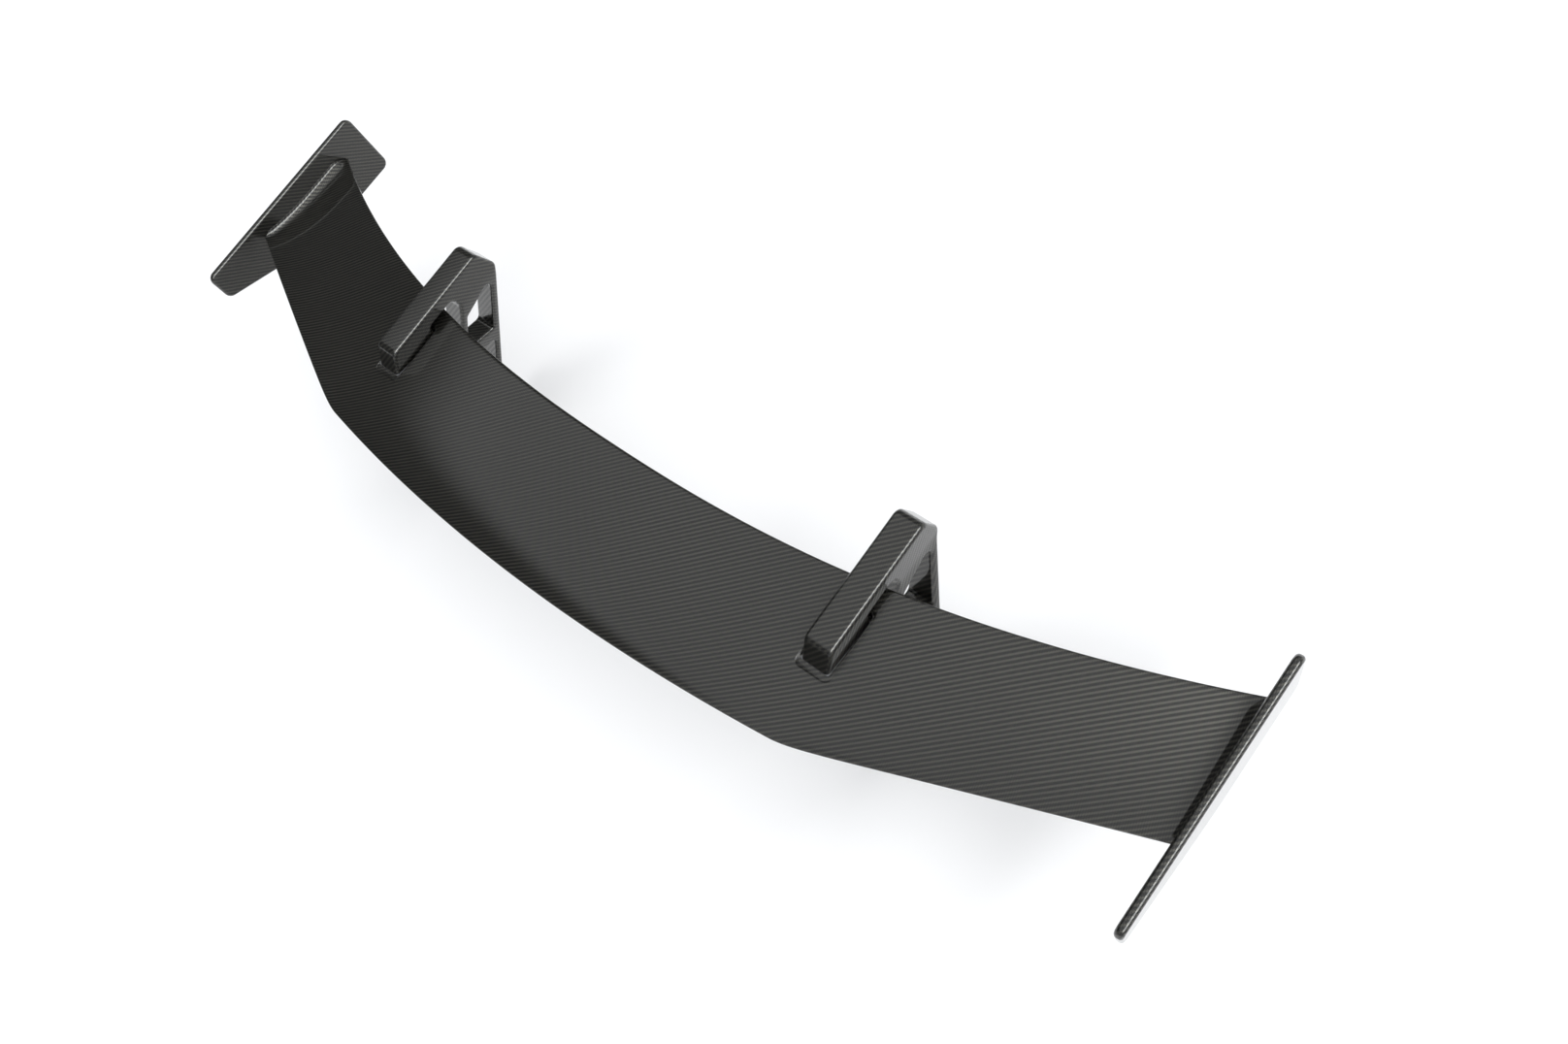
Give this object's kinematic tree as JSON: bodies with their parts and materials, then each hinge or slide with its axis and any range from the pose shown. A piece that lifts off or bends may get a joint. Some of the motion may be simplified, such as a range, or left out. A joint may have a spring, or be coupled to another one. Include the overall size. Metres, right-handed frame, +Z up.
{
  "type": "racing rear wing",
  "caption": "Swept carbon wing blade between endplates, hung from two swan-neck uprights with windowed legs and feet that bolt to a boot lid.",
  "frame": {"origin": "midway between the two feet, in the plane of the foot faces, on the line between their bolt patterns", "axes": "+X along the span to the car's right as seen from behind, +Y to the front of the car, +Z up"},
  "size_m": [1.45, 0.367, 0.28],
  "materials": {
    "gloss_carbon": "twill carbon under clear gloss",
    "raw_carbon": "bare carbon laminate",
    "ground_facing": "satin grey, ground flat",
    "alloy": "turned",
    "steel": "satin",
    "seal_rubber": "matt",
    "black_plastic": "fine matt"
  },
  "bodies": {
    "root": {"blade_upper_skin": "gloss_carbon", "blade_lower_skin": "gloss_carbon", "front_spar": "raw_carbon", "rear_spar": "raw_carbon", "left_tip_rib": "raw_carbon", "right_tip_rib": "raw_carbon", "left_tip_dowels": "steel", "right_tip_dowels": "steel", "left_pocket_tray": "gloss_carbon", "right_pocket_tray": "gloss_carbon", "left_mount_block": "alloy", "right_mount_block": "alloy", "left_wing_bushes": "alloy", "right_wing_bushes": "alloy", "left_endplate": "gloss_carbon", "right_endplate": "gloss_carbon", "left_upright": "gloss_carbon", "right_upright": "gloss_carbon", "left_pad_facing": "ground_facing", "right_pad_facing": "ground_facing", "left_pad_inserts": "steel", "right_pad_inserts": "steel", "left_pad_dowel": "steel", "right_pad_dowel": "steel", "left_wing_bolts": "steel", "right_wing_bolts": "steel", "left_foot_facing": "ground_facing", "right_foot_facing": "ground_facing", "left_foot_inserts": "steel", "right_foot_inserts": "steel", "left_foot_seal": "seal_rubber", "right_foot_seal": "seal_rubber", "left_locating_block": "black_plastic", "right_locating_block": "black_plastic"}
  },
  "joints": []
}
